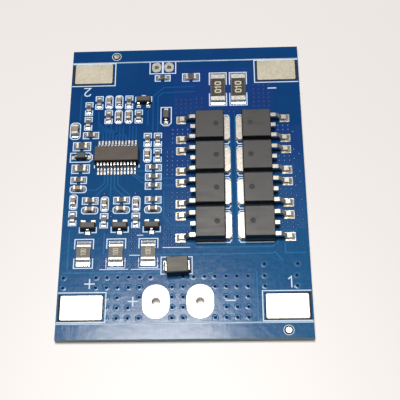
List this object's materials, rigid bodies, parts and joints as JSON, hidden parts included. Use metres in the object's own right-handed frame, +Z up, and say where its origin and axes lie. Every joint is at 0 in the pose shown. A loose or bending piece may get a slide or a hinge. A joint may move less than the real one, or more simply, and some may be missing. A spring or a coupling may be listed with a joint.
{
  "type": "battery management board",
  "caption": "Flat blue circuit board that protects a rechargeable cell pack, with corner wire pads, rows of power transistors, a controller chip and break-off rails.",
  "frame": {"origin": "centre of the board's underside", "axes": "+Z up out of the component side, +Y along the length towards the sensor holes, +X to the right"},
  "size_m": [0.046, 0.063, 0.0036],
  "materials": {
    "mask": "gloss solder mask over glass laminate",
    "ink": "printed legend ink",
    "land_tin": "hot-air levelled tin",
    "pad_tin": "hot-air levelled tin",
    "solder": "bright solder",
    "power_mould": "moulded epoxy, fine texture",
    "controller_mould": "moulded epoxy, fine texture",
    "small_mould": "moulded epoxy",
    "lead_tin": "tin-plated copper",
    "terminal_tin": "plated end terminals",
    "alumina": "white alumina",
    "glaze": "black glass overcoat",
    "capacitor_ceramic": "fired ceramic"
  },
  "bodies": {
    "root": {"printed_board": "mask", "sight_marks": "land_tin", "legend": "ink", "power_lands": "land_tin", "signal_lands": "land_tin", "solder_fillets": "solder", "pad_supply_plus": "pad_tin", "pad_supply_minus": "pad_tin", "pad_tap_1": "pad_tin", "pad_tap_2": "pad_tin", "pad_output_plus": "pad_tin", "pad_output_minus": "pad_tin", "pad_sensor_1": "pad_tin", "pad_sensor_2": "pad_tin", "power_body_1": "power_mould", "power_leadframe_1": "lead_tin", "power_body_2": "power_mould", "power_leadframe_2": "lead_tin", "power_body_3": "power_mould", "power_leadframe_3": "lead_tin", "power_body_4": "power_mould", "power_leadframe_4": "lead_tin", "power_body_5": "power_mould", "power_leadframe_5": "lead_tin", "power_body_6": "power_mould", "power_leadframe_6": "lead_tin", "power_body_7": "power_mould", "power_leadframe_7": "lead_tin", "power_body_8": "power_mould", "power_leadframe_8": "lead_tin", "controller_body": "controller_mould", "controller_leads": "lead_tin", "transistor_body_1": "small_mould", "transistor_leads_1": "lead_tin", "transistor_body_2": "small_mould", "transistor_leads_2": "lead_tin", "transistor_body_3": "small_mould", "transistor_leads_3": "lead_tin", "transistor_body_4": "small_mould", "transistor_leads_4": "lead_tin", "balance_resistor_1": "alumina", "balance_terminals_1": "terminal_tin", "balance_resistor_2": "alumina", "balance_terminals_2": "terminal_tin", "balance_resistor_3": "alumina", "balance_terminals_3": "terminal_tin", "shunt_1": "alumina", "shunt_terminals_1": "terminal_tin", "shunt_2": "alumina", "shunt_terminals_2": "terminal_tin", "surge_diode_body": "small_mould", "signal_diode_bodies": "small_mould", "surge_diode_leads": "lead_tin", "signal_diode_leads": "lead_tin", "chip_resistors": "alumina", "chip_resistor_terminals": "terminal_tin", "chip_capacitor_terminals": "terminal_tin", "resistor_glaze": "glaze", "chip_capacitors": "capacitor_ceramic"}
  },
  "joints": []
}
